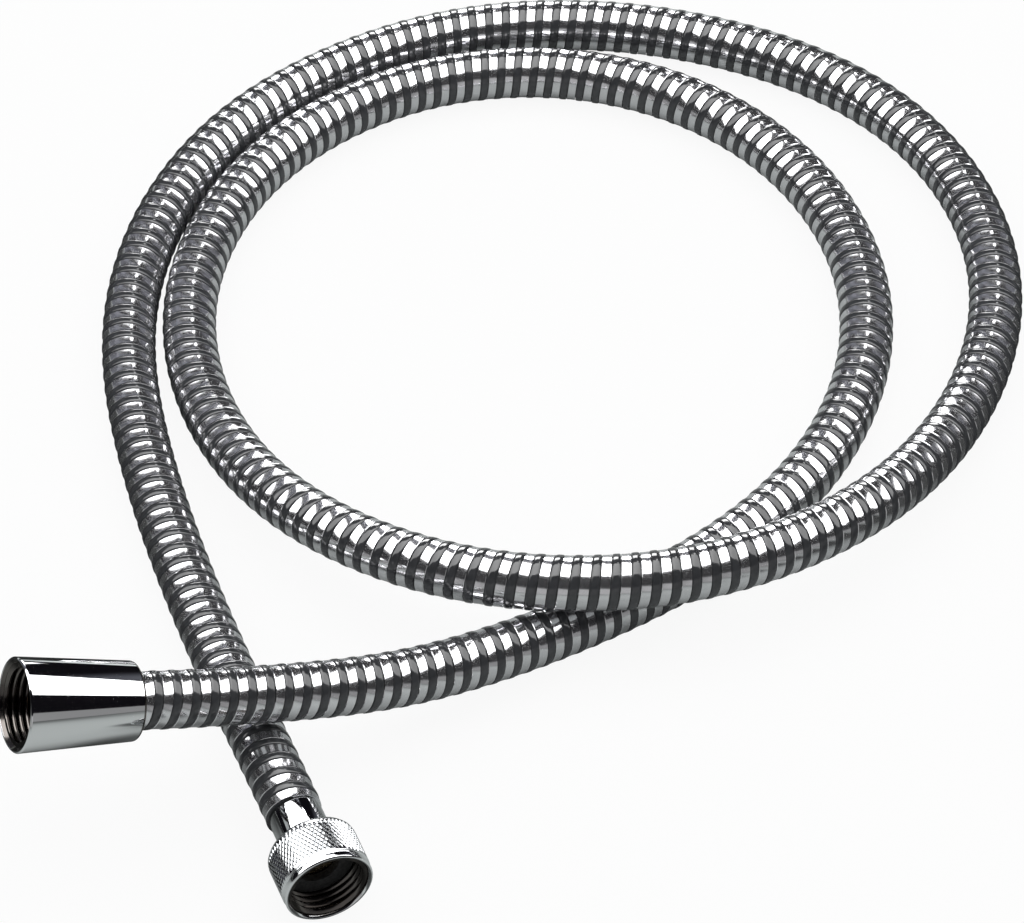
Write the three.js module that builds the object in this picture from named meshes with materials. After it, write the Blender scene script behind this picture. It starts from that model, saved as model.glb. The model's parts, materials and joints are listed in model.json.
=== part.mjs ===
// A shower hose that lies in two loose loops, with a conical nut on one end and a knurled nut on
// the other. Lengths are in millimetres, +Z is up and the floor is at z = 0. The origin is on the
// floor, under the middle of the two end fittings.
import * as THREE from 'three';
import { NURBSCurve } from 'three/addons/curves/NURBSCurve.js';

// Clearances
const GAP = 0.3;
const RUNNING_CLEARANCE = 0.4;
const SOCKET_CLEARANCE = 0.6;

// Hose: a spiral sheath round an inner water hose
const HOSE_D = 15;
const SHEATH_WALL = 1.7;
const INNER_BORE = 8;
const SHEATH_SIDES = 12;
const INNER_SIDES = 8;
const CURVE_STEPS = 76;
const STRAIGHT_END = 10;

// Barbed tails, one in each end of the inner hose
const TAIL_BORE = 5;
const BARB_DEPTH = 0.5;
const BARB_PITCH = 3;
const BARB_COUNT = 3;
const TAIL_REACH = 8;
const FLANGE_THICKNESS = 2.2;

// Crimp ferrules, one over each end of the inner hose
const CONE_FERRULE_WALL = 1.7;
const CONE_FERRULE_LENGTH = 10.7;
const KNURL_FERRULE_WALL = 1.1;
const KNURL_FERRULE_SHOWN = 10.4;
const FERRULE_FRONT_WALL = 1;
const FERRULE_EDGE = 0.4;

// Flat washers
const WASHER_BORE = 10.5;
const WASHER_THICKNESS = 2.5;

// Nuts, both for the half-inch parallel pipe thread; the plain bore is the thread's pitch diameter
const THREAD_BORE = 19.8;
const THREAD_LEAD_IN = 0.5;
const MOUTH_CHAMFER = 0.5;

const CONE_NUT_BACK_WALL = 2.3;
const CONE_NUT_MOUTH_WALL = 2.2;
const CONE_NUT_LENGTH = 31.5;
const CONE_NUT_BACK_FILLET = 0.8;
const HOSE_IN_CONE_NUT = 6.6;

const KNURL_NUT_WALL = 1.9;
const KNURL_NUT_LENGTH = 15;
const KNURL_NUT_BACK_WALL = 2.3;
const KNURL_NUT_BACK_FILLET = 2.8;

// Diamond knurl: rows of diamonds whose grooves cross, then a narrow groove and a plain ring
const KNURL_COLUMNS = 64;
const KNURL_ROW = 2;
const KNURL_DEPTH = 0.35;
const PLAIN_RING = 1.8;
const RING_GROOVE = 0.6;
const RING_STEP = 0.15;

const FILLET_STEPS = 4;
const CONE_NUT_SEGMENTS = 48;
const SMALL_PIECE_SEGMENTS = 32;

// The centreline's control points between its two straight ends: x, y and the height of the axis
const LYING = HOSE_D / 2;
const NUT_LYING = THREAD_BORE / 2 + KNURL_NUT_WALL;
const ROUTE = [
  // from the conical nut down over the knurled end's run
  [-12, 13.7, 36.5],
  [1, 18.2, 32],
  [27, 28, 23],
  [57, 41, 13.5],
  // the inner loop, along the right, the far side and the left
  [93, 62, LYING],
  [132, 86, LYING],
  [162, 117, LYING],
  [180, 160, LYING],
  [179, 207, LYING],
  [158, 249, LYING],
  [123, 276, LYING],
  [80, 284, LYING],
  [40, 272, LYING],
  [9, 245, LYING],
  [-8, 210, LYING],
  [-12, 172, LYING],
  [-1, 132, LYING],
  // the front run, which passes over the start of the inner loop
  [25, 91, 17.5],
  [70, 63, 24.5],
  [126, 63, 24.5],
  [175, 93, 18.5],
  // the outer loop, along the right, the far side and the left
  [204, 138, LYING],
  [217, 179, LYING],
  [215, 217, LYING],
  [201, 251, LYING],
  [177, 277, LYING],
  [145, 294, LYING],
  [107, 303, LYING],
  [67, 301, LYING],
  [30, 285, LYING],
  [-2.5, 257.5, LYING],
  [-22.5, 218, LYING],
  [-28.5, 175, LYING],
  [-22, 133, LYING],
  [-8.4, 85.8, LYING],
  [8.1, 41.6, LYING],
  // the knurled nut lies on the floor and lifts the hose's end to its own axis
  [16.2, 19.5, NUT_LYING],
  [21.4, 6.45, NUT_LYING],
];
const ORIGIN_SHIFT = [1.59, 4.36, 0];

const CHROME = { color: 0xd9dbdd, roughness: 0.08, metalness: 1 };
const STRIP = { color: 0xb9bcbd, roughness: 0.15, metalness: 0.9 };
const RUBBER = { color: 0x22211f, roughness: 0.8, metalness: 0 };
const WATER_HOSE = { color: 0x9a9c98, roughness: 0.5, metalness: 0 };

// The curved part of the centreline, a clamped cubic curve with evenly spaced inner knots
function centreline() {
  const degree = 3;
  const spans = ROUTE.length - degree;
  const inner = Array.from({ length: spans - 1 }, (_, i) => (i + 1) / spans);
  const knots = [0, 0, 0, 0, ...inner, 1, 1, 1, 1];
  const points = ROUTE.map(([x, y, z]) => new THREE.Vector4(x, y, z, 1));
  const curve = new NURBSCurve(degree, knots, points);
  curve.arcLengthDivisions = 4000;
  return curve;
}

// A path with one section on each station, so that tubes on the same stations nest evenly
class StationPath extends THREE.Curve {
  constructor(stations) {
    super();
    this.stations = stations;
  }

  getPoint(t, target = new THREE.Vector3()) {
    const place = t * (this.stations.length - 1);
    const i = Math.min(Math.floor(place), this.stations.length - 2);
    return target.lerpVectors(this.stations[i], this.stations[i + 1], place - i);
  }

  getPointAt(u, target) {
    return this.getPoint(u, target);
  }

  getTangentAt(u, target) {
    return this.getTangent(u, target);
  }
}

function polygon(radius, sides) {
  return Array.from({ length: sides }, (_, i) => {
    const angle = (2 * Math.PI * i) / sides;
    return new THREE.Vector2(radius * Math.cos(angle), radius * Math.sin(angle));
  });
}

// A tube along the stations; its bore's flats touch the bore's circle from outside
function tube(stations, outerD, boreD, sides) {
  const section = new THREE.Shape(polygon(outerD / 2, sides));
  section.holes.push(new THREE.Path(polygon(boreD / 2 / Math.cos(Math.PI / sides), sides)));
  return new THREE.ExtrudeGeometry(section, {
    steps: stations.length - 1,
    extrudePath: new StationPath(stations),
  });
}

// A turned piece about +Z. The profile's [radius, height] points go up the outside and down the bore.
function turned(profile, segments = SMALL_PIECE_SEGMENTS) {
  const closed = [...profile, profile[0]].map(([r, z]) => new THREE.Vector2(r, z));
  return new THREE.LatheGeometry(closed, segments).rotateX(Math.PI / 2);
}

// A rounded outer corner between a back face at height z and a wall of radius r
function backFillet(r, z, fillet) {
  return Array.from({ length: FILLET_STEPS + 1 }, (_, i) => {
    const angle = (Math.PI / 2) * (i / FILLET_STEPS);
    return [r - fillet + fillet * Math.sin(angle), z + fillet - fillet * Math.cos(angle)];
  });
}

function mesh(name, geometry, look) {
  const piece = new THREE.Mesh(geometry, new THREE.MeshStandardMaterial(look));
  piece.name = name;
  return piece;
}

// Sizes that follow from the ones above
const SHEATH_BORE = HOSE_D - 2 * SHEATH_WALL;
const INNER_HOSE_D = SHEATH_BORE - 2 * GAP;
const FERRULE_BORE = INNER_HOSE_D + 2 * GAP;
const STEM_D = INNER_BORE - 2 * GAP;
const FERRULE_HOLE = STEM_D + 2 * GAP;
const FLANGE_D = THREAD_BORE - 2 * SOCKET_CLEARANCE;
const WASHER_D = THREAD_BORE - 2 * SOCKET_CLEARANCE;
const CONE_FERRULE_D = FERRULE_BORE + 2 * CONE_FERRULE_WALL;
const KNURL_FERRULE_D = FERRULE_BORE + 2 * KNURL_FERRULE_WALL;
const CONE_NUT_HOLE = Math.max(HOSE_D, CONE_FERRULE_D) + 2 * RUNNING_CLEARANCE;
const KNURL_NUT_HOLE = KNURL_FERRULE_D + 2 * RUNNING_CLEARANCE;

// Heights along each end's axis, from the sheath's end outwards
function layout(seat, mouth) {
  const flange = seat + GAP;
  const flangeFront = flange + FLANGE_THICKNESS;
  const washer = flangeFront + GAP;
  const hoseEnd = seat - FERRULE_FRONT_WALL - GAP;
  return { ferrule: GAP, seat, hoseEnd, flange, flangeFront, washer, mouth };
}
const CONE_END = layout(GAP + CONE_FERRULE_LENGTH, CONE_NUT_LENGTH - HOSE_IN_CONE_NUT);
const KNURL_NUT_BACK = GAP + KNURL_FERRULE_SHOWN;
const KNURL_END = layout(KNURL_NUT_BACK + KNURL_NUT_BACK_WALL, KNURL_NUT_BACK + KNURL_NUT_LENGTH);

// A sleeve over the inner hose with a holed front wall
function ferrule(outerD, at) {
  return turned([
    [FERRULE_BORE / 2, at.ferrule],
    [outerD / 2 - FERRULE_EDGE, at.ferrule],
    [outerD / 2, at.ferrule + FERRULE_EDGE],
    [outerD / 2, at.seat],
    [FERRULE_HOLE / 2, at.seat],
    [FERRULE_HOLE / 2, at.seat - FERRULE_FRONT_WALL],
    [FERRULE_BORE / 2, at.seat - FERRULE_FRONT_WALL],
  ]);
}

// A stem with barbs inside the inner hose, and a flange that holds the nut and seats the washer
function tail(at) {
  const crest = STEM_D / 2;
  const barbs = Array.from({ length: BARB_COUNT }, (_, i) => {
    const z = -TAIL_REACH + i * BARB_PITCH;
    return [[crest - BARB_DEPTH, z], [crest, z + BARB_PITCH - GAP], [crest - BARB_DEPTH, z + BARB_PITCH]];
  });
  const stem = -TAIL_REACH + BARB_COUNT * BARB_PITCH + GAP;
  return turned([
    [TAIL_BORE / 2, -TAIL_REACH],
    ...barbs.flatMap((barb, i) => (i === 0 ? barb : barb.slice(1))),
    [crest, stem],
    [crest, at.flange],
    [FLANGE_D / 2, at.flange],
    [FLANGE_D / 2, at.flangeFront],
    [TAIL_BORE / 2, at.flangeFront],
  ]);
}

function washer(at) {
  return turned([
    [WASHER_BORE / 2, at.washer],
    [WASHER_D / 2, at.washer],
    [WASHER_D / 2, at.washer + WASHER_THICKNESS],
    [WASHER_BORE / 2, at.washer + WASHER_THICKNESS],
  ]);
}

// The socket that both nuts share: lead-in, thread bore, seat for the flange, and the way through
function socket(at, back, backHole) {
  return [
    [THREAD_BORE / 2 + THREAD_LEAD_IN, at.mouth],
    [THREAD_BORE / 2, at.mouth - THREAD_LEAD_IN],
    [THREAD_BORE / 2, at.seat],
    [backHole / 2, at.seat],
    [backHole / 2, back],
  ];
}

function coneNut(at) {
  const back = at.mouth - CONE_NUT_LENGTH;
  const mouthRadius = THREAD_BORE / 2 + CONE_NUT_MOUTH_WALL;
  return turned([
    ...backFillet(CONE_NUT_HOLE / 2 + CONE_NUT_BACK_WALL, back, CONE_NUT_BACK_FILLET),
    [mouthRadius, at.mouth - MOUTH_CHAMFER],
    [mouthRadius - MOUTH_CHAMFER, at.mouth],
    ...socket(at, back, CONE_NUT_HOLE),
  ], CONE_NUT_SEGMENTS);
}

// Presses every other point of the rows from first to last into a turned blank, and splits its
// faces along the grooves between those points, which leaves a diamond round every other point
function knurl(geometry, rowPoints, first, last) {
  const position = geometry.attributes.position;
  const columns = position.count / rowPoints;
  const low = (column, row) => (column + row - first) % 2 === 1;
  const index = [];
  for (let column = 0; column < columns; column += 1) {
    for (let row = first; row <= last; row += 1) {
      const i = column * rowPoints + row;
      const radius = Math.hypot(position.getX(i), position.getY(i));
      const scale = low(column, row) ? (radius - KNURL_DEPTH) / radius : 1;
      position.setXYZ(i, position.getX(i) * scale, position.getY(i) * scale, position.getZ(i));
    }
  }
  for (let column = 0; column < columns - 1; column += 1) {
    for (let row = 0; row < rowPoints - 1; row += 1) {
      const a = column * rowPoints + row;
      const [b, c, d] = [a + rowPoints, a + rowPoints + 1, a + 1];
      const grooveFromA = row >= first && row < last && low(column, row);
      index.push(...(grooveFromA ? [a, b, c, a, c, d] : [a, b, d, b, c, d]));
    }
  }
  geometry.setIndex(index);
  return geometry;
}

function knurlNut(at) {
  const radius = THREAD_BORE / 2 + KNURL_NUT_WALL;
  const ringRadius = radius - RING_STEP;
  const shoulder = backFillet(radius, KNURL_NUT_BACK, KNURL_NUT_BACK_FILLET);
  const start = KNURL_NUT_BACK + KNURL_NUT_BACK_FILLET;
  const ring = at.mouth - PLAIN_RING;
  const halfRows = Math.floor((ring - RING_GROOVE - start) / (KNURL_ROW / 2));
  const band = Array.from({ length: halfRows }, (_, i) => [radius, start + ((i + 1) * KNURL_ROW) / 2]);
  const profile = [
    ...shoulder,
    ...band,
    [radius - KNURL_DEPTH, ring - RING_GROOVE],
    [radius - KNURL_DEPTH, ring],
    [ringRadius, ring],
    [ringRadius, at.mouth - MOUTH_CHAMFER],
    [ringRadius - MOUTH_CHAMFER, at.mouth],
    ...socket(at, KNURL_NUT_BACK, KNURL_NUT_HOLE),
  ];
  const first = shoulder.length - 1;
  return knurl(turned(profile, 2 * KNURL_COLUMNS), profile.length + 1, first, first + halfRows);
}

// A group on the hose's end, with +Z straight out of the hose and +Y as far up as it goes
function endGroup(end, outward) {
  const side = new THREE.Vector3(0, 0, 1).cross(outward).normalize();
  const up = new THREE.Vector3().crossVectors(outward, side);
  const group = new THREE.Group();
  group.quaternion.setFromRotationMatrix(new THREE.Matrix4().makeBasis(side, up, outward));
  group.position.copy(end);
  return group;
}

const curve = centreline();
const coneOutward = curve.getTangent(0).negate();
const knurlOutward = curve.getTangent(1);
const coneEnd = curve.getPoint(0).addScaledVector(coneOutward, STRAIGHT_END);
const knurlEnd = curve.getPoint(1).addScaledVector(knurlOutward, STRAIGHT_END);
const stations = [coneEnd, ...curve.getSpacedPoints(CURVE_STEPS), knurlEnd];
const innerStations = [
  coneEnd.clone().addScaledVector(coneOutward, CONE_END.hoseEnd),
  ...stations,
  knurlEnd.clone().addScaledVector(knurlOutward, KNURL_END.hoseEnd),
];

const showerHose = new THREE.Group();
showerHose.position.fromArray(ORIGIN_SHIFT);
showerHose.add(
  mesh('spiral_sheath', tube(stations, HOSE_D, SHEATH_BORE, SHEATH_SIDES), STRIP),
  mesh('inner_hose', tube(innerStations, INNER_HOSE_D, INNER_BORE, INNER_SIDES), WATER_HOSE),
);

const coneFittings = endGroup(coneEnd, coneOutward);
coneFittings.add(
  mesh('conical_nut', coneNut(CONE_END), CHROME),
  mesh('conical_end_washer', washer(CONE_END), RUBBER),
  mesh('conical_end_tail', tail(CONE_END), CHROME),
  mesh('conical_end_ferrule', ferrule(CONE_FERRULE_D, CONE_END), CHROME),
);

const knurlFittings = endGroup(knurlEnd, knurlOutward);
knurlFittings.add(
  mesh('knurled_nut', knurlNut(KNURL_END), CHROME),
  mesh('knurled_end_washer', washer(KNURL_END), RUBBER),
  mesh('knurled_end_tail', tail(KNURL_END), CHROME),
  mesh('knurled_end_ferrule', ferrule(KNURL_FERRULE_D, KNURL_END), CHROME),
);
showerHose.add(coneFittings, knurlFittings);

export default showerHose;
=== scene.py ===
# %% [markdown]
# # A spiral shower hose
# The hose lies in two loose loops on a white table. It has a conical nut on one end, and a short
# knurled nut behind a crimp ferrule on the other. This lesson lays the hose along its centreline,
# turns the fittings as a lathe would, and lights the chrome with one big overhead softbox.

# %% Load the frame
import json
import math

import bpy
from mathutils import Matrix, Vector

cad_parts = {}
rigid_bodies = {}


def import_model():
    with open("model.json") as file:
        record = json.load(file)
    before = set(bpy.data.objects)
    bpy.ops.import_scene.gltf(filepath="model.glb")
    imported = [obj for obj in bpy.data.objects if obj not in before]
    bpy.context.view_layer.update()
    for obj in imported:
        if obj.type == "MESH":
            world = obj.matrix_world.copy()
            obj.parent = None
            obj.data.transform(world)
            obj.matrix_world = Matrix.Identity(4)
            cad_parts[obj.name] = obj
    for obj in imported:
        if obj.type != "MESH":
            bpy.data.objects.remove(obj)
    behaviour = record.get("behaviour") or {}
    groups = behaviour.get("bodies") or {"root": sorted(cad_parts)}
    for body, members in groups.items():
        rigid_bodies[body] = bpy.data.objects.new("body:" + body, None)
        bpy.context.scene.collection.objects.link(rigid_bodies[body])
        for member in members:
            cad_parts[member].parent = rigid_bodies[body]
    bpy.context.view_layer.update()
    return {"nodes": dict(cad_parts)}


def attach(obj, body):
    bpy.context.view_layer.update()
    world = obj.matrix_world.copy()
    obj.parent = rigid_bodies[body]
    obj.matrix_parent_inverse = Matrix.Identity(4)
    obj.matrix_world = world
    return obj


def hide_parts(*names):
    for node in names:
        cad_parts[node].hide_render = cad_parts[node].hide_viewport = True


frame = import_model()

MM = 0.001
print("pieces in the frame:", sorted(frame["nodes"]))

# %% [markdown]
# ## The camera
# The hose was photographed from a good metre away with a long lens, 46.6 degrees above the table.
# A wide lens from close by would also hold the whole hose, but it would make the near nuts too
# large for the far loop, so the long lens is kept. What was measured in the photograph has its own
# origin, and SHIFT moves it to the frame's origin, under the middle of the two fittings.

# %% Camera
SHIFT = Vector((1.59, 4.36, 0.0))
CAMERA_AT = (Vector((80.0, -781.0, 963.57)) + SHIFT) * MM
CAMERA_DOWN = 46.58
LENS, SENSOR = 170.8, 36
NEAREST_SEEN = 0.05

camera_data = bpy.data.cameras.new("camera")
camera_data.sensor_width = SENSOR
camera_data.lens = LENS
camera_data.clip_start = NEAREST_SEEN
camera = bpy.data.objects.new("camera", camera_data)
camera.location = CAMERA_AT
camera.rotation_euler = (math.radians(90 - CAMERA_DOWN), 0, 0)
bpy.context.scene.collection.objects.link(camera)
bpy.context.scene.camera = camera
print("camera at", [round(c, 3) for c in camera.location])

# %% [markdown]
# ## The route
# A hose is stiff, so its line has no kinks: every bend is wider than four diameters. It could be
# laid by a simulation, but that wouldn't fall into the loops of the photograph, so its points are
# listed one by one. They are in millimetres, and the third number is the height of the hose's axis:
# half its diameter where it lies on the table, and more where it passes over itself.

# %% Route
HOSE_D = 15.0
LYING = HOSE_D / 2
NUT_LYING = 11.8
ROUTE = [
    (-12, 13.7, 36.5), (1, 18.2, 32), (27, 28, 23), (57, 41, 13.5),
    (93, 62, LYING), (132, 86, LYING), (162, 117, LYING), (180, 160, LYING),
    (179, 207, LYING), (158, 249, LYING), (123, 276, LYING), (80, 284, LYING),
    (40, 272, LYING), (9, 245, LYING), (-8, 210, LYING), (-12, 172, LYING),
    (-1, 132, LYING), (25, 91, 17.5), (70, 63, 24.5), (126, 63, 24.5),
    (175, 93, 18.5), (204, 138, LYING), (217, 179, LYING), (215, 217, LYING),
    (201, 251, LYING), (177, 277, LYING), (145, 294, LYING), (107, 303, LYING),
    (67, 301, LYING), (30, 285, LYING), (-2.5, 257.5, LYING), (-22.5, 218, LYING),
    (-28.5, 175, LYING), (-22, 133, LYING), (-8.4, 85.8, LYING), (8.1, 41.6, LYING),
    (16.2, 19.5, NUT_LYING), (21.4, 6.45, NUT_LYING),
]
print(len(ROUTE), "points, the highest at", max(z for _, _, z in ROUTE), "mm")

# %% [markdown]
# ## The centreline
# The frame's own hose follows a clamped cubic curve over these points. Blender's NURBS curve could
# draw it too, but the same sum written out gives exactly the same line, and its points are needed
# as numbers. A short straight piece is added at each end, where the hose enters its fittings.

# %% Centreline
DEGREE = 3
SAMPLES = 1500
STRAIGHT_END = 10.0
LAST = 1 - 1e-9


def curve_point(t, points, knots):
    """The point at t on a clamped curve, by repeated mixing of the control points near it."""
    span = max(i for i in range(DEGREE, len(points)) if knots[i] <= t or i == DEGREE)
    near = [points[span - DEGREE + i].copy() for i in range(DEGREE + 1)]
    for level in range(1, DEGREE + 1):
        for i in range(DEGREE, level - 1, -1):
            left = knots[span - DEGREE + i]
            right = knots[span + 1 + i - level]
            share = (t - left) / (right - left)
            near[i] = near[i - 1].lerp(near[i], share)
    return near[DEGREE]


def centreline():
    """The line's points in metres, and the two directions straight out of its ends."""
    points = [(Vector(p) + SHIFT) * MM for p in ROUTE]
    spans = len(points) - DEGREE
    inner = [i / spans for i in range(1, spans)]
    knots = [0.0] * (DEGREE + 1) + inner + [1.0] * (DEGREE + 1)
    line = [curve_point(min(i / SAMPLES, LAST), points, knots) for i in range(SAMPLES + 1)]
    first_out = (points[0] - points[1]).normalized()
    last_out = (points[-1] - points[-2]).normalized()
    start = line[0] + first_out * STRAIGHT_END * MM
    end = line[-1] + last_out * STRAIGHT_END * MM
    return [start] + line + [end], first_out, last_out


PATH, CONE_OUT, KNURL_OUT = centreline()
LENGTH = sum((b - a).length for a, b in zip(PATH, PATH[1:]))
CONE_END, KNURL_END = PATH[0], PATH[-1]
print("hose length", round(LENGTH, 4), "m")

# %% [markdown]
# ## Shader maths
# A pattern could be wired node by node, but a formula is easier to read. A small class wraps a
# socket, so that a formula on values adds its own Math nodes. Every other node comes from one
# function, which takes the node's type, its settings, and the numbers or links of its sockets.

# %% Shader maths
class Value:
    def __init__(self, tree, socket):
        self.tree, self.socket = tree, socket

    def math(self, operation, *values):
        return node(self.tree, "ShaderNodeMath", {"operation": operation}, dict(enumerate(values)))

    def __add__(self, other):
        return self.math("ADD", self, other)

    __radd__ = __add__

    def __sub__(self, other):
        return self.math("SUBTRACT", self, other)

    def __rsub__(self, other):
        return self.math("SUBTRACT", other, self)

    def __mul__(self, other):
        return self.math("MULTIPLY", self, other)

    __rmul__ = __mul__

    def __abs__(self):
        return self.math("ABSOLUTE", self)

    def ramp(self, low, high, start=0.0, end=1.0):
        """start up to low, end from high, and smooth between them."""
        limits = {"From Min": low, "From Max": high, "To Min": start, "To Max": end}
        settings = {"interpolation_type": "SMOOTHSTEP"}
        return node(self.tree, "ShaderNodeMapRange", settings, {"Value": self, **limits})

    def between(self, low, high, soft):
        """1 from low to high, and 0 outside, with soft edges."""
        return self.ramp(low - soft, low + soft) * self.ramp(high - soft, high + soft, 1.0, 0.0)


def node(tree, kind, settings, values, output=0):
    """Adds a node, sets it, fills or links its sockets, and wraps the output that is asked for."""
    n = tree.nodes.new(kind)
    for key, value in settings.items():
        setattr(n, key, value)
    for key, value in values.items():
        if isinstance(value, Value):
            tree.links.new(value.socket, n.inputs[key])
        else:
            n.inputs[key].default_value = value
    return Value(tree, n.outputs[output] if len(n.outputs) else None)


def colour(tree, red, green, blue):
    return node(tree, "ShaderNodeCombineColor", {}, {"Red": red, "Green": green, "Blue": blue})


print("a Value works with + - * and abs, and has a ramp and a band between two limits")

# %% [markdown]
# ## Unevenness
# No real surface has one gloss all over: handling, plating and moulding leave it mottled. An image
# could show that, but noise needs no image and no unwrapping, and it looks the same from all sides
# of a piece. It reads Object coordinates, so it stays on its piece when the piece moves. Nearly
# all of the noise lies between NOISE_LOW and NOISE_HIGH, so these are stretched to the full range.

# %% Unevenness
NOISE_LOW, NOISE_HIGH = 0.3, 0.7
RIPPLE_DEPTH = 0.0004


def material(name, sockets):
    """A new material with these sockets set on its shader, its node tree, and its shader."""
    m = bpy.data.materials.new(name)
    m.use_nodes = True
    shader = m.node_tree.nodes["Principled BSDF"]
    for socket, value in sockets.items():
        shader.inputs[socket].default_value = value
    return m, m.node_tree, shader


def feed(tree, shader, socket, value):
    tree.links.new(value.socket, shader.inputs[socket])


def noise(tree, scale, detail=2.0):
    spot = node(tree, "ShaderNodeTexCoord", {}, {}, "Object")
    return node(tree, "ShaderNodeTexNoise", {}, {"Vector": spot, "Scale": scale, "Detail": detail})


def mottled(tree, scale, low, high):
    """A value that wanders from low to high over the surface."""
    return noise(tree, scale).ramp(NOISE_LOW, NOISE_HIGH, low, high)


def ripple(tree, scale, strength):
    """A slight waviness of a moulded or wound surface."""
    height = {"Height": noise(tree, scale, 1.0), "Strength": strength, "Distance": RIPPLE_DEPTH}
    return node(tree, "ShaderNodeBump", {}, height)


print("noise from", NOISE_LOW, "to", NOISE_HIGH, "becomes each gloss and shade")

# %% [markdown]
# ## Metals
# Polished chrome has almost no colour of its own: what makes it look real is what it mirrors, with
# a trace of uneven gloss. So each metal is a metallic shader with its own tint and gloss, and no
# painted highlights. The thread, the bores and the knurl are given a darker tint, which is painted
# shade for their fine valleys and hollows. The strip's plating lies on wound plastic, so it is a
# little wavy.

# %% Metals
def metal(name, tint, low, high, scale=900, metallic=1.0):
    m, tree, shader = material(name, {"Base Color": (*tint, 1), "Metallic": metallic})
    feed(tree, shader, "Roughness", mottled(tree, scale, low, high))
    return m


chrome = metal("polished_chrome", (0.83, 0.84, 0.85), 0.03, 0.07)
strip_chrome = metal("strip_chrome", (0.8, 0.8, 0.82), 0.12, 0.17, 1500, 0.94)
# Painted shade: the thread and the nuts' bores get a dark tint, for the shade in the nuts' hollows.
thread_brass_painted_shade = metal("plated_thread_painted_shade", (0.14, 0.128, 0.12), 0.12, 0.2)
# Painted shade: the knurl is darker than the polish, for the shade in its grooves.
knurl_chrome_painted_shade = metal("knurl_chrome_painted_shade", (0.5, 0.51, 0.52), 0.1, 0.15)
tail_brass = metal("turned_brass", (0.62, 0.5, 0.33), 0.2, 0.35)

tree = strip_chrome.node_tree
feed(tree, tree.nodes["Principled BSDF"], "Normal", ripple(tree, 260, 0.015))
print("metals:", [m.name for m in (chrome, strip_chrome, thread_brass_painted_shade, knurl_chrome_painted_shade, tail_brass)])

# %% [markdown]
# ## Plastic and rubber
# The bead between the mirror strips is smoked plastic: nearly black, a trace blue, and glossy, so
# that most of what it shows is reflected. Real smoke would need a clear shader over a dark core,
# but the bead is so dark that a clear shader would only add noise. The liner, the washers and the
# water hose are hidden or nearly so, and are plain matt plastic and rubber with a mottled shade.

# %% Plastic and rubber
def matt_plastic(name, roughness, scale, low, high):
    m, tree, shader = material(name, {"Metallic": 0.0, "Roughness": roughness})
    shade = mottled(tree, scale, low, high)
    feed(tree, shader, "Base Color", colour(tree, shade, shade, shade))
    return m


liner_dark = matt_plastic("liner_plastic", 0.6, 700, 0.01, 0.02)
rubber = matt_plastic("washer_rubber", 0.7, 1400, 0.012, 0.03)
plain_hose = matt_plastic("water_hose_plastic", 0.5, 500, 0.4, 0.5)

smoked, tree, shader = material("smoked_plastic", {"Metallic": 0.0, "IOR": 1.56})
shade = mottled(tree, 420, 0.036, 0.046)
feed(tree, shader, "Base Color", colour(tree, shade * 0.96, shade, shade * 1.08))
feed(tree, shader, "Roughness", mottled(tree, 1200, 0.09, 0.14))
feed(tree, shader, "Normal", ripple(tree, 300, 0.03))
print("plastics:", [m.name for m in (smoked, liner_dark, rubber, plain_hose)])

# %% [markdown]
# ## Working on one piece at a time
# An operator acts on all that is selected, and the frame's own pieces are selected after loading.
# So each helper first selects only its piece. Faces are then turned outwards once their doubles
# are merged, and only edges flatter than a given angle are shaded smooth.

# %% Helpers
MERGE_WITHIN = 1e-6


def deselect():
    for o in bpy.context.selected_objects:
        o.select_set(False)


def make_active(obj):
    deselect()
    obj.select_set(True)
    bpy.context.view_layer.objects.active = obj


def apply_modifiers(obj):
    make_active(obj)
    for m in list(obj.modifiers):
        bpy.ops.object.modifier_apply(modifier=m.name)


def place(obj, matrix):
    """Puts a piece where matrix says, with the place in its mesh and the object at the origin."""
    obj.matrix_world = matrix
    make_active(obj)
    bpy.ops.object.transform_apply(location=True, rotation=True, scale=True)
    return obj


def face_out(obj):
    make_active(obj)
    bpy.ops.object.mode_set(mode="EDIT")
    bpy.ops.mesh.select_all(action="SELECT")
    bpy.ops.mesh.remove_doubles(threshold=MERGE_WITHIN)
    bpy.ops.mesh.normals_make_consistent(inside=False)
    bpy.ops.object.mode_set(mode="OBJECT")


def smooth(obj, degrees):
    make_active(obj)
    bpy.ops.object.shade_smooth_by_angle(angle=math.radians(degrees))


def dress(obj, *finishes):
    obj.data.materials.clear()
    for finish in finishes:
        obj.data.materials.append(finish)


print("selected after loading:", len(bpy.context.selected_objects), "objects")

# %% [markdown]
# ## A way to bend a straight piece
# The long pieces of the hose are made straight, where they are easy to draw, wind and cut, and are
# then bent by a Curve modifier along a guide. The guide goes through the centreline's own points,
# and it is deleted after its last use.

# %% Guide
guide_data = bpy.data.curves.new("guide", "CURVE")
guide_data.dimensions = "3D"
spline = guide_data.splines.new("POLY")
spline.points.add(len(PATH) - 1)
for point, p in zip(spline.points, PATH):
    point.co = (*p, 1)
guide = bpy.data.objects.new("guide", guide_data)
bpy.context.scene.collection.objects.link(guide)


def bend(obj):
    modifier = obj.modifiers.new("along", "CURVE")
    modifier.object = guide
    modifier.deform_axis = "POS_X"
    apply_modifiers(obj)


print("guide of", len(spline.points), "points")

# %% [markdown]
# ## Springs
# The winding and the threads are all springs. A Screw modifier winds a drawn section round X, which
# makes a straight spring that is cut square at both ends and closed there. Sweeping a section along
# a coiled curve would also do, but there the section twists in the bends, and here it always points
# away from the hose's axis.

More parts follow.
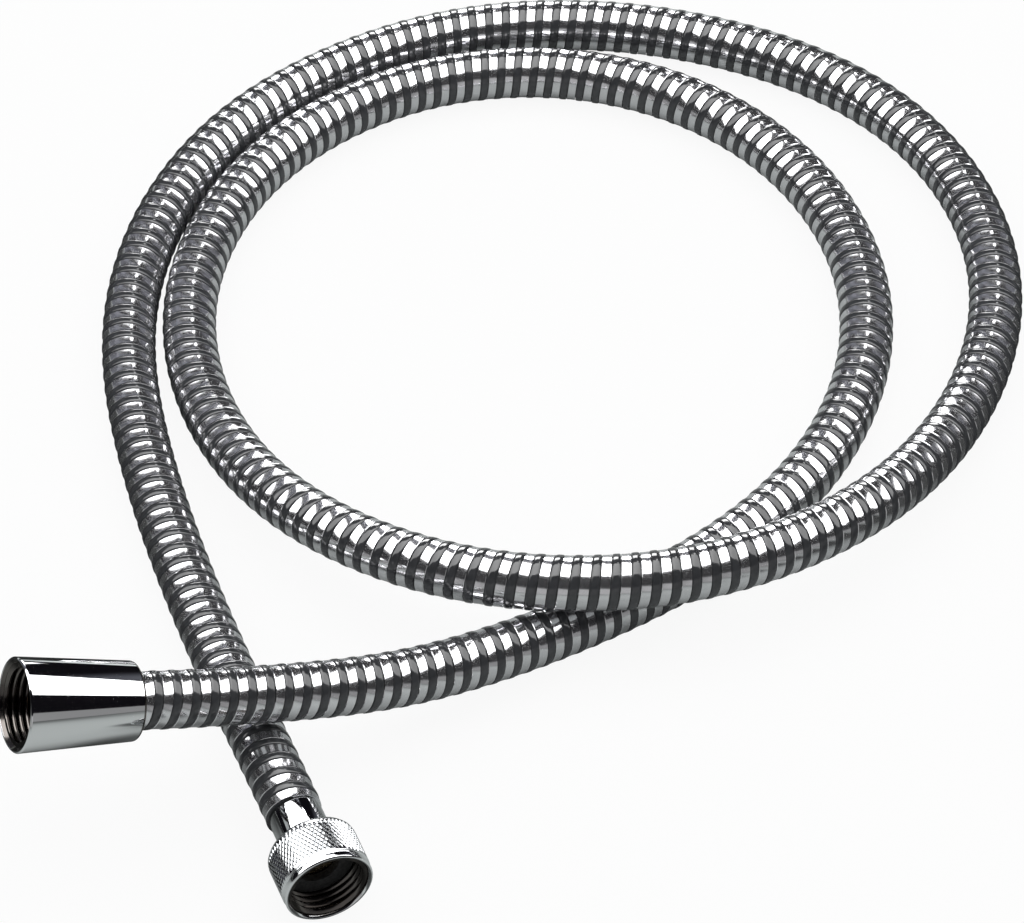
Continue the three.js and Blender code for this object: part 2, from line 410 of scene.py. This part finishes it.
# %% Springs
def spring(name, section, hand, pitch, turns, steps):
    """Winds a closed section of (along, radius) in millimetres, left-handed if hand is -1."""
    corners = [(along * MM, 0, radius * MM) for along, radius in section]
    mesh = bpy.data.meshes.new(name)
    mesh.from_pydata(corners, [(i, (i + 1) % len(corners)) for i in range(len(corners))], [])
    obj = bpy.data.objects.new(name, mesh)
    bpy.context.scene.collection.objects.link(obj)
    screw = obj.modifiers.new("wind", "SCREW")
    screw.axis = "X"
    screw.angle = hand * 2 * math.pi
    screw.screw_offset = pitch * MM
    screw.iterations = turns
    screw.steps = screw.render_steps = steps
    screw.use_smooth_shade = False
    apply_modifiers(obj)
    return obj


def cut(obj, low, high):
    """Keeps the spring from low to high along X, in metres, and closes both cuts."""
    for at, below in ((low, True), (high, False)):
        make_active(obj)
        bpy.ops.object.mode_set(mode="EDIT")
        bpy.ops.mesh.select_all(action="SELECT")
        bpy.ops.mesh.bisect(
            plane_co=(at, 0, 0), plane_no=(1, 0, 0), clear_inner=below, clear_outer=not below
        )
        bpy.ops.mesh.select_all(action="DESELECT")
        bpy.ops.mesh.select_non_manifold()
        bpy.ops.mesh.fill()
        bpy.ops.object.mode_set(mode="OBJECT")
    face_out(obj)


print("hand: 1 winds like a common screw, and -1 the other way")

# %% [markdown]
# ## The winding
# The sheath is two strips wound side by side round the hose, left-handed: a flat mirror strip with
# slightly raised edges, and a rounded bead of smoked plastic, with a thin groove on each side. One
# turn takes about 5 mm. A bump pattern on a tube could fake it, but the bead's rounded outline
# shows on every edge of the hose, so both strips are real springs.

# %% Winding
TURNS = 299
TURN = LENGTH / MM / TURNS
STEPS_PER_TURN = 32
STRIP = [
    (-2.6, 6.4), (-2.6, 7.22), (-2.47, 7.34), (-1.9, 7.3), (-1.3, 7.29),
    (-0.7, 7.3), (-0.13, 7.34), (0, 7.22), (0, 6.4),
]
BEAD = [
    (0.1, 6.4), (0.1, 7.15), (0.22, 7.38), (0.5, 7.47), (0.9, 7.5),
    (1.56, 7.5), (1.96, 7.47), (2.24, 7.38), (2.36, 7.15), (2.36, 6.4),
]


def wound(name, section, degrees):
    obj = spring(name, section, -1, TURN, TURNS + 1, STEPS_PER_TURN)
    cut(obj, 0, LENGTH)
    bend(obj)
    smooth(obj, degrees)
    print(name, len(obj.data.polygons), "faces")
    return obj


strip = wound("chrome_strip", STRIP, 25)
bead = wound("smoked_bead", BEAD, 50)

# %% [markdown]
# ## The liner
# The two strips are wound on a thin dark liner, which shows only at the bottom of the grooves. A
# curve with a bevel would make a tube, but its rings wouldn't lie where the winding's do. So a flat
# grid is rolled into a straight tube, given a wall, and bent by the same modifier.

# %% Liner
LINER_CUTS, LINER_SIDES = 500, 24
LINER_R, LINER_WALL = 6.6 * MM, 0.8 * MM

deselect()
bpy.ops.mesh.primitive_grid_add(x_subdivisions=LINER_CUTS, y_subdivisions=LINER_SIDES, size=1)
liner = bpy.context.active_object
liner.name = liner.data.name = "sheath_liner"
for v in liner.data.vertices:
    turn = (v.co.y + 0.5) * 2 * math.pi
    v.co = ((v.co.x + 0.5) * LENGTH, LINER_R * math.cos(turn), LINER_R * math.sin(turn))
face_out(liner)
wall = liner.modifiers.new("wall", "SOLIDIFY")
wall.thickness = LINER_WALL
wall.offset = -1
apply_modifiers(liner)
bend(liner)
smooth(liner, 40)
bpy.data.objects.remove(guide)
print("liner", len(liner.data.polygons), "faces")

# %% [markdown]
# ## Turned fittings
# Nuts, ferrules, tails and washers are turned on a lathe, so each is a ring drawn by its section.
# Spin would also do it, but it can turn a shape inside out. Here a circle is added, and its rim is
# extruded and scaled from one point of the section to the next, until the last ring is bridged to
# the first. A Bevel modifier then breaks the sharp edges, as a turner does with a file.

# %% Lathe
EDGE_BREAK = 0.12
SHARP = 25


def end_matrix(end, outward):
    """+Z straight out of the hose, +Y as far up as it goes: the frame of one end's fittings."""
    side = Vector((0, 0, 1)).cross(outward).normalized()
    up = outward.cross(side)
    return Matrix.Translation(end) @ Matrix((side, up, outward)).transposed().to_4x4()


def turned(name, section, segments=128, edge=EDGE_BREAK):
    """A closed section of (radius, height) in millimetres, up the outside and down the bore."""
    deselect()
    radius, height = section[0]
    bpy.ops.mesh.primitive_circle_add(
        vertices=segments, radius=radius * MM, location=(0, 0, height * MM), fill_type="NOTHING"
    )
    obj = bpy.context.active_object
    obj.name = obj.data.name = name
    bpy.ops.object.transform_apply(location=True, rotation=True, scale=True)
    bpy.ops.object.mode_set(mode="EDIT")
    bpy.ops.mesh.select_all(action="SELECT")
    for r, z in section[1:]:
        rise = {"value": (0, 0, (z - height) * MM)}
        bpy.ops.mesh.extrude_region_move(TRANSFORM_OT_translate=rise)
        bpy.ops.transform.resize(value=(r / radius, r / radius, 1), center_override=(0, 0, z * MM))
        radius, height = r, z
    bpy.ops.mesh.select_all(action="SELECT")
    bpy.ops.mesh.region_to_loop()
    bpy.ops.mesh.bridge_edge_loops()
    bpy.ops.object.mode_set(mode="OBJECT")
    face_out(obj)
    bevel = obj.modifiers.new("edges", "BEVEL")
    bevel.width = edge * MM
    bevel.segments = 3
    bevel.limit_method = "ANGLE"
    bevel.angle_limit = math.radians(SHARP)
    apply_modifiers(obj)
    print(name, len(obj.data.polygons), "faces")
    return obj


AT_CONE = end_matrix(CONE_END, CONE_OUT)
AT_KNURL = end_matrix(KNURL_END, KNURL_OUT)
print("conical end rises at", round(math.degrees(math.asin(CONE_OUT.z))), "degrees")

# %% [markdown]
# ## The internal thread
# Both nuts fit the half-inch pipe thread, whose turns are 1.814 mm apart. In the open mouths its
# ridges catch the light as rings. Plain rings would look nearly the same, but a true thread is no
# harder: one ridge is wound as a spring, right-handed this time, and joined to its nut.

# %% Thread
THREAD_TURN = 1.814
THREAD_ROOT = 10.48
THREAD_CREST = 9.35
THREAD_STEPS = 72
LEAD_IN = 1.9
RIDGE = [
    (0, THREAD_ROOT + 0.05), (0.62, THREAD_CREST + 0.12), (0.78, THREAD_CREST),
    (1.0, THREAD_CREST), (1.16, THREAD_CREST + 0.12), (1.78, THREAD_ROOT + 0.05),
]


def thread(name, low, high):
    """A ridge inside a nut from low to high, in millimetres out of the hose's end."""
    section = [(along + low - LEAD_IN, radius) for along, radius in RIDGE]
    turns = int((high - low) / THREAD_TURN) + 2
    obj = spring(name, section, 1, THREAD_TURN, turns, THREAD_STEPS)
    cut(obj, low * MM, high * MM)
    return place(obj, Matrix.Rotation(-math.pi / 2, 4, "Y"))


def join(body, other):
    make_active(body)
    other.select_set(True)
    bpy.ops.object.join()
    return body


def line_bore(obj, radius):
    """Gives the faces inside radius, seen from the turning axis, the second material slot."""
    for face in obj.data.polygons:
        if math.hypot(face.center.x, face.center.y) < radius * MM:
            face.material_index = 1


print("thread", round(2 * THREAD_ROOT, 2), "mm across its valleys")

# %% [markdown]
# ## The conical nut
# A plain polished cone with crisp edges, 31.5 mm long and 24.2 mm across its mouth. The hose and
# the hidden ferrule go 6.6 mm into its narrow end, whose rounding is drawn in the section, because
# a bevel that wide would also eat the mouth's narrow rim.

# %% Conical nut
CONE_BACK, CONE_SEAT, CONE_MOUTH = -6.6, 11.0, 24.9
CONE_NARROW, CONE_BORE = 10.2, 7.9
CONE_SECTION = [
    (CONE_NARROW - 0.8, CONE_BACK), (CONE_NARROW - 0.4, CONE_BACK + 0.11),
    (CONE_NARROW - 0.11, CONE_BACK + 0.4), (CONE_NARROW, CONE_BACK + 0.8),
    (12.1, CONE_MOUTH - 0.4), (11.75, CONE_MOUTH), (11.45, CONE_MOUTH),
    (THREAD_ROOT, CONE_MOUTH - 1.0), (THREAD_ROOT, CONE_SEAT),
    (CONE_BORE, CONE_SEAT), (CONE_BORE, CONE_BACK),
]
NUT_SMOOTH = 28

conical_nut = turned("polished_conical_nut", CONE_SECTION)
conical_nut = join(conical_nut, thread("thread_a", 15.2, CONE_MOUTH - 0.9))
# The bore and the thread take the finish that is darkened with painted shade.
dress(conical_nut, chrome, thread_brass_painted_shade)
line_bore(conical_nut, THREAD_ROOT + 0.6)
place(conical_nut, AT_CONE)
smooth(conical_nut, NUT_SMOOTH)
print("conical nut", round(CONE_MOUTH - CONE_BACK, 1), "mm long")

# %% [markdown]
# ## The knurled nut
# A short nut with a domed back, and a narrow groove and a plain ring at its mouth. A bump pattern
# could draw its diamonds, but they break its outline, so they are pressed into the mesh. The wall
# is turned with a fine grid of corners. The corners on both sets of diagonals then sink, and the
# squares round them are split, which leaves flat-topped diamonds between crossing grooves.

# %% Knurled nut
KNURL_BACK, KNURL_SEAT, KNURL_MOUTH = 10.7, 13.0, 25.7
KNURL_R, KNURL_RING, KNURL_GROOVE, KNURL_BORE = 11.8, 11.65, 11.4, 7.3
KNURL_LOW = KNURL_BACK + 2.8
KNURL_ROWS, ROW = 18, 0.5
KNURL_COLUMNS = 256
KNURL_SECTION = [
    (9.0, KNURL_BACK), (10.07, KNURL_BACK + 0.21), (10.98, KNURL_BACK + 0.82),
    (11.59, KNURL_BACK + 1.73),
    *[(KNURL_R, KNURL_LOW + row * ROW) for row in range(KNURL_ROWS + 1)],
    (KNURL_R, KNURL_MOUTH - 2.4), (KNURL_GROOVE, KNURL_MOUTH - 2.3),
    (KNURL_GROOVE, KNURL_MOUTH - 1.9), (KNURL_RING, KNURL_MOUTH - 1.8),
    (KNURL_RING, KNURL_MOUTH - 0.35), (11.3, KNURL_MOUTH), (10.95, KNURL_MOUTH),
    (THREAD_ROOT, KNURL_MOUTH - 0.5), (THREAD_ROOT, KNURL_SEAT),
    (KNURL_BORE, KNURL_SEAT), (KNURL_BORE, KNURL_BACK),
]
knurled_nut = turned("polished_knurled_nut", KNURL_SECTION, KNURL_COLUMNS)

# %% [markdown]
# The corners to sink are picked by their place: each has a column round the nut and a row up its
# wall, and it lies on a diagonal where their sum or their difference divides by the diamonds' size.

# %% Knurl
KNURL_DEPTH = 0.22
DIAMOND = 4
NEAR = 0.01


def on_wall(co):
    high = KNURL_LOW + KNURL_ROWS * ROW
    at_radius = abs(math.hypot(co.x, co.y) / MM - KNURL_R) < NEAR
    return at_radius and KNURL_LOW - NEAR < co.z / MM < high + NEAR


def on_diagonal(co):
    column = round(math.atan2(co.y, co.x) / (2 * math.pi) * KNURL_COLUMNS)
    row = round((co.z / MM - KNURL_LOW) / ROW)
    return (column + row) % DIAMOND == 0 or (column - row) % DIAMOND == 0


mesh = knurled_nut.data
for part in (mesh.polygons, mesh.edges, mesh.vertices):
    part.foreach_set("select", [False] * len(part))
for v in mesh.vertices:
    v.select = on_wall(v.co) and on_diagonal(v.co)
print("knurl sinks", sum(v.select for v in mesh.vertices), "corners")
make_active(knurled_nut)
bpy.ops.object.mode_set(mode="EDIT")
bpy.ops.mesh.select_mode(type="VERT")
inward = 1 - KNURL_DEPTH / KNURL_R
bpy.ops.transform.resize(value=(inward, inward, 1), center_override=(0, 0, 0))
bpy.ops.mesh.select_more()
bpy.ops.mesh.quads_convert_to_tris(quad_method="SHORTEST_DIAGONAL")
bpy.ops.object.mode_set(mode="OBJECT")

# %% [markdown]
# The thread is joined in, and three finishes are laid on: polish outside, plated brass darkened
# with painted shade in the bore, and the knurl, darkened with painted shade, whose faces are the
# only ones that were split into triangles on the wall.

# %% Finish of the knurled nut
knurled_nut = join(knurled_nut, thread("thread_b", 17.2, KNURL_MOUTH - 0.9))
dress(knurled_nut, chrome, thread_brass_painted_shade, knurl_chrome_painted_shade)
line_bore(knurled_nut, THREAD_ROOT + 0.06)
for face in knurled_nut.data.polygons:
    out = math.hypot(face.center.x, face.center.y)
    if len(face.vertices) == 3 and out > (KNURL_R - 0.3) * MM:
        face.material_index = 2
place(knurled_nut, AT_KNURL)
smooth(knurled_nut, NUT_SMOOTH)
print("knurled faces:", sum(f.material_index == 2 for f in knurled_nut.data.polygons))

# %% [markdown]
# ## Ferrules, tails and washers
# A ferrule is a smooth sleeve, crimped over the hose on a barbed tail. The tail's flange holds the
# nut and is the seat of its rubber washer. Only one ferrule and a little of the washers show, but
# all are turned like the real ones, because a nut's open mouth lets the viewer look in.

# %% Ferrules, tails and washers
FERRULE_BORE, FERRULE_LIP = 5.8, 4.0
TAIL_BORE, TAIL_CORE, BARB_R, FLANGE_R = 2.5, 3.2, 3.7, 9.3
TAIL_REACH, BARBS, BARB_PITCH, BARB_RISE = 8, 3, 3, 2.7
WASHER_BORE, WASHER_T = 5.25, 2.5


def ferrule(name, outer, seat):
    return turned(name, [
        (FERRULE_BORE, 0.3), (outer - 0.4, 0.3), (outer, 0.7), (outer, seat),
        (FERRULE_LIP, seat), (FERRULE_LIP, seat - 1), (FERRULE_BORE, seat - 1),
    ])


def tail(name, seat):
    barbs = []
    for i in range(BARBS):
        z = -TAIL_REACH + BARB_PITCH * i
        barbs += [(TAIL_CORE, z), (BARB_R, z + BARB_RISE)]
    return turned(name, [
        (TAIL_BORE, -TAIL_REACH), *barbs, (TAIL_CORE, 1.0), (BARB_R, 1.3), (BARB_R, seat + 0.3),
        (FLANGE_R, seat + 0.3), (FLANGE_R, seat + 2.5), (TAIL_BORE, seat + 2.5),
    ], 64)


def washer(name, low):
    high = low + WASHER_T
    ring = [(WASHER_BORE, low), (FLANGE_R, low), (FLANGE_R, high), (WASHER_BORE, high)]
    return turned(name, ring, 96, 0.3)


knurled_ferrule = place(ferrule("smooth_ferrule", 6.9, KNURL_SEAT), AT_KNURL)
conical_ferrule = place(ferrule("hidden_ferrule", 7.5, CONE_SEAT), AT_CONE)
conical_tail = place(tail("barbed_tail_a", CONE_SEAT), AT_CONE)
knurled_tail = place(tail("barbed_tail_b", KNURL_SEAT), AT_KNURL)
conical_washer = place(washer("rubber_washer_a", 13.8), AT_CONE)
knurled_washer = place(washer("rubber_washer_b", 15.8), AT_KNURL)

# %% [markdown]
# ## Dressing the rest
# The nuts have their finishes already. Each other piece gets one, and the water hose, the only
# piece of the frame that stays, gets a new one too, since a plain solid never shows as it is.

# %% Dress the pieces
inner_hose = frame["nodes"]["inner_hose"]
for piece, finish in (
    (strip, strip_chrome), (bead, smoked), (liner, liner_dark), (inner_hose, plain_hose),
    (knurled_ferrule, chrome), (conical_ferrule, chrome), (conical_tail, tail_brass),
    (knurled_tail, tail_brass), (conical_washer, rubber), (knurled_washer, rubber),
):
    dress(piece, finish)
    print(piece.name, "is", finish.name)
for piece in (
    knurled_ferrule, conical_ferrule, conical_tail, knurled_tail, conical_washer, knurled_washer
):
    smooth(piece, NUT_SMOOTH)

# %% [markdown]
# ## What rides on what
# Each piece moves with a body of the frame, and stands for the plain solid that it replaces. The
# washers turn with their nuts, as loose nuts carry them, and all else stays with the hose.

# %% Bodies
RIDES = (
    (strip, "hose", "spiral_sheath", "chrome_strip"),
    (bead, "hose", "spiral_sheath", "smoked_bead"),
    (liner, "hose", "spiral_sheath", "smoked_bead"),
    (conical_ferrule, "hose", "conical_end_ferrule", "chrome_metal"),
    (knurled_ferrule, "hose", "knurled_end_ferrule", "chrome_metal"),
    (conical_tail, "hose", "conical_end_tail", "tail_brass"),
    (knurled_tail, "hose", "knurled_end_tail", "tail_brass"),
    (conical_nut, "conical_swivel", "conical_nut", "chrome_metal"),
    (conical_washer, "conical_swivel", "conical_end_washer", "washer_rubber"),
    (knurled_nut, "knurled_swivel", "knurled_nut", "chrome_metal"),
    (knurled_washer, "knurled_swivel", "knurled_end_washer", "washer_rubber"),
)
for piece, body, replaced, slot in RIDES:
    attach(piece, body)
    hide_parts(replaced)
print(len(RIDES), "pieces ride on", sorted({body for _, body, _, _ in RIDES}))

# %% [markdown]
# ## The cord's facts
# The hose is a cord: 1.52 m long, 15 mm thick, stiff, loosely laid, with a fitting on its far end.
# The photograph shows all of it, so nothing is coiled away.

# %% Cord
print("cord of", round(LENGTH, 3), "m with its fittings")

# %% [markdown]
# ## The table
# The hose lies on white paper. A curved backdrop would also do, but from this height the camera
# sees no horizon, so a flat sheet is enough. It lies a hair below the hose, so that the two never
# share a face, and it belongs to the stage and not to the object.

# %% Table
TABLE_SIZE, TABLE_DROP = 6, 0.0002

deselect()
bpy.ops.mesh.primitive_plane_add(size=TABLE_SIZE, location=(0, 0, -TABLE_DROP))
table = bpy.context.active_object
table.name = "white_table"
print("table", TABLE_SIZE, "m wide,", TABLE_DROP / MM, "mm below the hose")

# %% [markdown]
# ## The table's two looks
# Mirror finishes show their surroundings, so the table needs two looks. The camera sees white paper
# with hardly a shadow, as in the photograph, so it mostly glows by itself. In the chrome a white
# table would make the fittings white too, and the photograph shows them grey and black below. So
# mirrored rays see a shaded table: mid grey in front, dark behind the hose's front edge, lighter
# inside the loops and far away, and darkest close to the two nuts, where each shades its own spot.

# %% Tools for stage materials
def empty_tree(owner):
    """The node tree of a material or world, with nothing in it."""
    owner.use_nodes = True
    owner.node_tree.nodes.clear()
    return owner.node_tree


def ray(tree, kind):
    """1 for rays of this kind, and 0 for all others."""
    return node(tree, "ShaderNodeLightPath", {}, {}, kind)


def axis(tree, spot, letter):
    return node(tree, "ShaderNodeSeparateXYZ", {}, {"Vector": spot}, letter)


def away_from(tree, spot, centre):
    """The distance in metres from a point of the table."""
    ends = {0: spot, 1: centre}
    return node(tree, "ShaderNodeVectorMath", {"operation": "DISTANCE"}, ends, "Value")


print("places on the table are in metres from the frame's origin")

# %% Paper
PAPER = (0.78, 0.79, 0.79, 1)
PAPER_GLOW = 0.92
WHITE = (1, 1, 1, 1)

table_white = bpy.data.materials.new("table_white")
tree = empty_tree(table_white)
spot = node(tree, "ShaderNodeTexCoord", {}, {}, "Object")
x, y = axis(tree, spot, "X"), axis(tree, spot, "Y")
# Painted shadows: in reflections the table darkens close under the conical nut and in front of the
# knurled nut's mouth.
painted_shadow_under_cone = away_from(tree, spot, (-0.004, 0.022, 0)).ramp(0.012, 0.035, 0.1, 1.0)
painted_shadow_at_mouth = away_from(tree, spot, (0.043, -0.031, 0)).ramp(0.008, 0.022, 0.2, 1.0)
in_front = y.ramp(-0.02, 0.03, 1.0, 0.0)
front_grey = y.ramp(-0.9, -0.05, 0.4, 0.52) * x.ramp(0.05, 0.4, 1.0, 0.6) * painted_shadow_under_cone * painted_shadow_at_mouth
back_grey = 0.03 + x.between(-0.005, 0.2, 0.025) * 0.38
shade = in_front * front_grey + (1 - in_front) * back_grey + y.ramp(0.32, 0.5, 0.0, 0.6)
mirrored = colour(tree, shade * 0.95, shade, shade * 0.985)

paper = node(tree, "ShaderNodeBsdfDiffuse", {}, {"Color": PAPER})
grey = node(tree, "ShaderNodeBsdfDiffuse", {}, {"Color": mirrored})
glow = node(tree, "ShaderNodeEmission", {}, {"Color": WHITE, "Strength": 1.0})
seen = node(tree, "ShaderNodeMixShader", {}, {0: PAPER_GLOW, 1: paper, 2: glow})
other = node(tree, "ShaderNodeMixShader", {}, {0: ray(tree, "Is Glossy Ray"), 1: paper, 2: grey})
both = node(tree, "ShaderNodeMixShader", {}, {0: ray(tree, "Is Camera Ray"), 1: other, 2: seen})
node(tree, "ShaderNodeOutputMaterial", {}, {"Surface": both})
table.data.materials.append(table_white)
print("table material of", len(tree.nodes), "nodes")

# %% [markdown]
# ## The studio
# The studio round the table is dark, apart from a few pale things that the chrome picks up. They
# could be planes and lamps, but in the world's shader each is one line, and none throws a shadow.
# Rise is the angle over the top of the scene: 0 is the horizon at the camera, 90 is overhead and
# 180 is the horizon behind the hose. The camera itself sees plain white, and matt surfaces a grey.

# %% World
DARK = (0.005, 0.0045, 0.006)
COOL_TINT = (1.0, 1.03, 1.2)
MATT_LIGHT = 0.45

world = bpy.data.worlds.new("studio")
bpy.context.scene.world = world
tree = empty_tree(world)
way = node(tree, "ShaderNodeTexCoord", {}, {}, "Generated")
x, y, z = (axis(tree, way, letter) for letter in "XYZ")
rise = z.math("ARCTAN2", z, y * -1.0) * (180 / math.pi)


def patch(rises, sides, soft_rise, soft_side, power):
    """A lit patch of the studio between two rises, and between two places left and right."""
    return rise.between(*rises, soft_rise) * x.between(*sides, soft_side) * power


low_front = rise.between(-5, 24, 2) * abs(x).ramp(0.25, 0.75, 0.44, 0.26)
back_lamp = patch((157, 174), (-0.28, 0.08), 1.5, 0.03, 12.0)
small_lamp = patch((131.5, 136.5), (0.1, 0.18), 1, 0.015, 13.0)
back_wall = patch((139, 154), (-0.65, 0.08), 2, 0.04, 0.12)
side_walls = abs(x).ramp(0.4, 0.65) * y.ramp(0.35, 0.7) * 0.12
plain = low_front + back_lamp + small_lamp
cool = back_wall + side_walls

to_camera, to_chrome = ray(tree, "Is Camera Ray"), ray(tree, "Is Glossy Ray")
matt_light = (1 - to_chrome) * MATT_LIGHT
channels = [
    to_camera + (1 - to_camera) * (to_chrome * (dark + plain + cool * tint) + matt_light)
    for dark, tint in zip(DARK, COOL_TINT)
]
sky = {"Color": colour(tree, *channels), "Strength": 1.0}
node(tree, "ShaderNodeOutputWorld", {}, {"Surface": node(tree, "ShaderNodeBackground", {}, sky)})
print("world of", len(tree.nodes), "nodes")

# %% [markdown]
# ## The softbox's light
# One wide softbox hangs over and a little behind the loops, as over most white tables. An area lamp
# gives its soft light to the matt surfaces. The chrome doesn't mirror the lamp itself, because a
# lamp's face has one brightness, with edges harder than those of cloth.

# %% Softbox lamp
BOX_AT = Vector((0, 0.36, 0.93))
BOX_SIZE = (3.4, 1.06)
BOX_RADIANCE = 1.25

lamp_data = bpy.data.lights.new("softbox", "AREA")
lamp_data.shape = "RECTANGLE"
lamp_data.size, lamp_data.size_y = BOX_SIZE
lamp_data.energy = BOX_RADIANCE * math.pi * BOX_SIZE[0] * BOX_SIZE[1]
softbox = bpy.data.objects.new("softbox", lamp_data)
softbox.location = BOX_AT
softbox.visible_camera = False
softbox.visible_glossy = False
bpy.context.scene.collection.objects.link(softbox)
print("softbox of", round(lamp_data.energy, 2), "W")

# %% [markdown]
# ## The softbox that the chrome sees
# In the lamp's place hangs a card that only mirrored rays meet. It is wider and brighter than the
# lamp, fades at its edges like stretched cloth, and is hottest in the middle, over its flash tube.

# %% Softbox card
CARD_WIDTH = 5.2
CLOTH_POWER, TUBE_POWER = 4.0, 1.5

deselect()
bpy.ops.mesh.primitive_plane_add(size=1)
card = bpy.context.active_object
card.name = "softbox_card"
card.scale = (CARD_WIDTH, BOX_SIZE[1], 1)
bpy.ops.object.transform_apply(location=False, rotation=False, scale=True)
card.location = BOX_AT
card.visible_camera = False
card.visible_diffuse = False
card.visible_shadow = False
card.visible_transmission = False

card_white = bpy.data.materials.new("softbox_cloth")
tree = empty_tree(card_white)
card_white.cycles.emission_sampling = "NONE"
spot = node(tree, "ShaderNodeTexCoord", {}, {}, "Object")
x, y = axis(tree, spot, "X"), axis(tree, spot, "Y")
cloth = abs(x).ramp(2.3, 2.55, 1.0, 0.0) * y.ramp(0.46, 0.52, 1.0, 0.0) * y.ramp(-0.52, -0.47)
power = cloth * (CLOTH_POWER + x.between(-0.3, 0.3, 0.25) * TUBE_POWER)
glow = node(tree, "ShaderNodeEmission", {}, {"Color": WHITE, "Strength": power})
node(tree, "ShaderNodeOutputMaterial", {}, {"Surface": glow})
card.data.materials.append(card_white)
print("card", CARD_WIDTH, "by", BOX_SIZE[1], "m")

# %% [markdown]
# ## Colours as they are
# The Standard view shows each colour about as it is written, where Blender's usual view would turn
# the white table grey.

# %% Colours as they are
bpy.context.scene.view_settings.view_transform = "Standard"
print("view:", bpy.context.scene.view_settings.view_transform)

# %% [markdown]
# ## The end
# The looks must not change the object's size. The view layer is brought up to date.

# %% The end
bpy.context.view_layer.update()
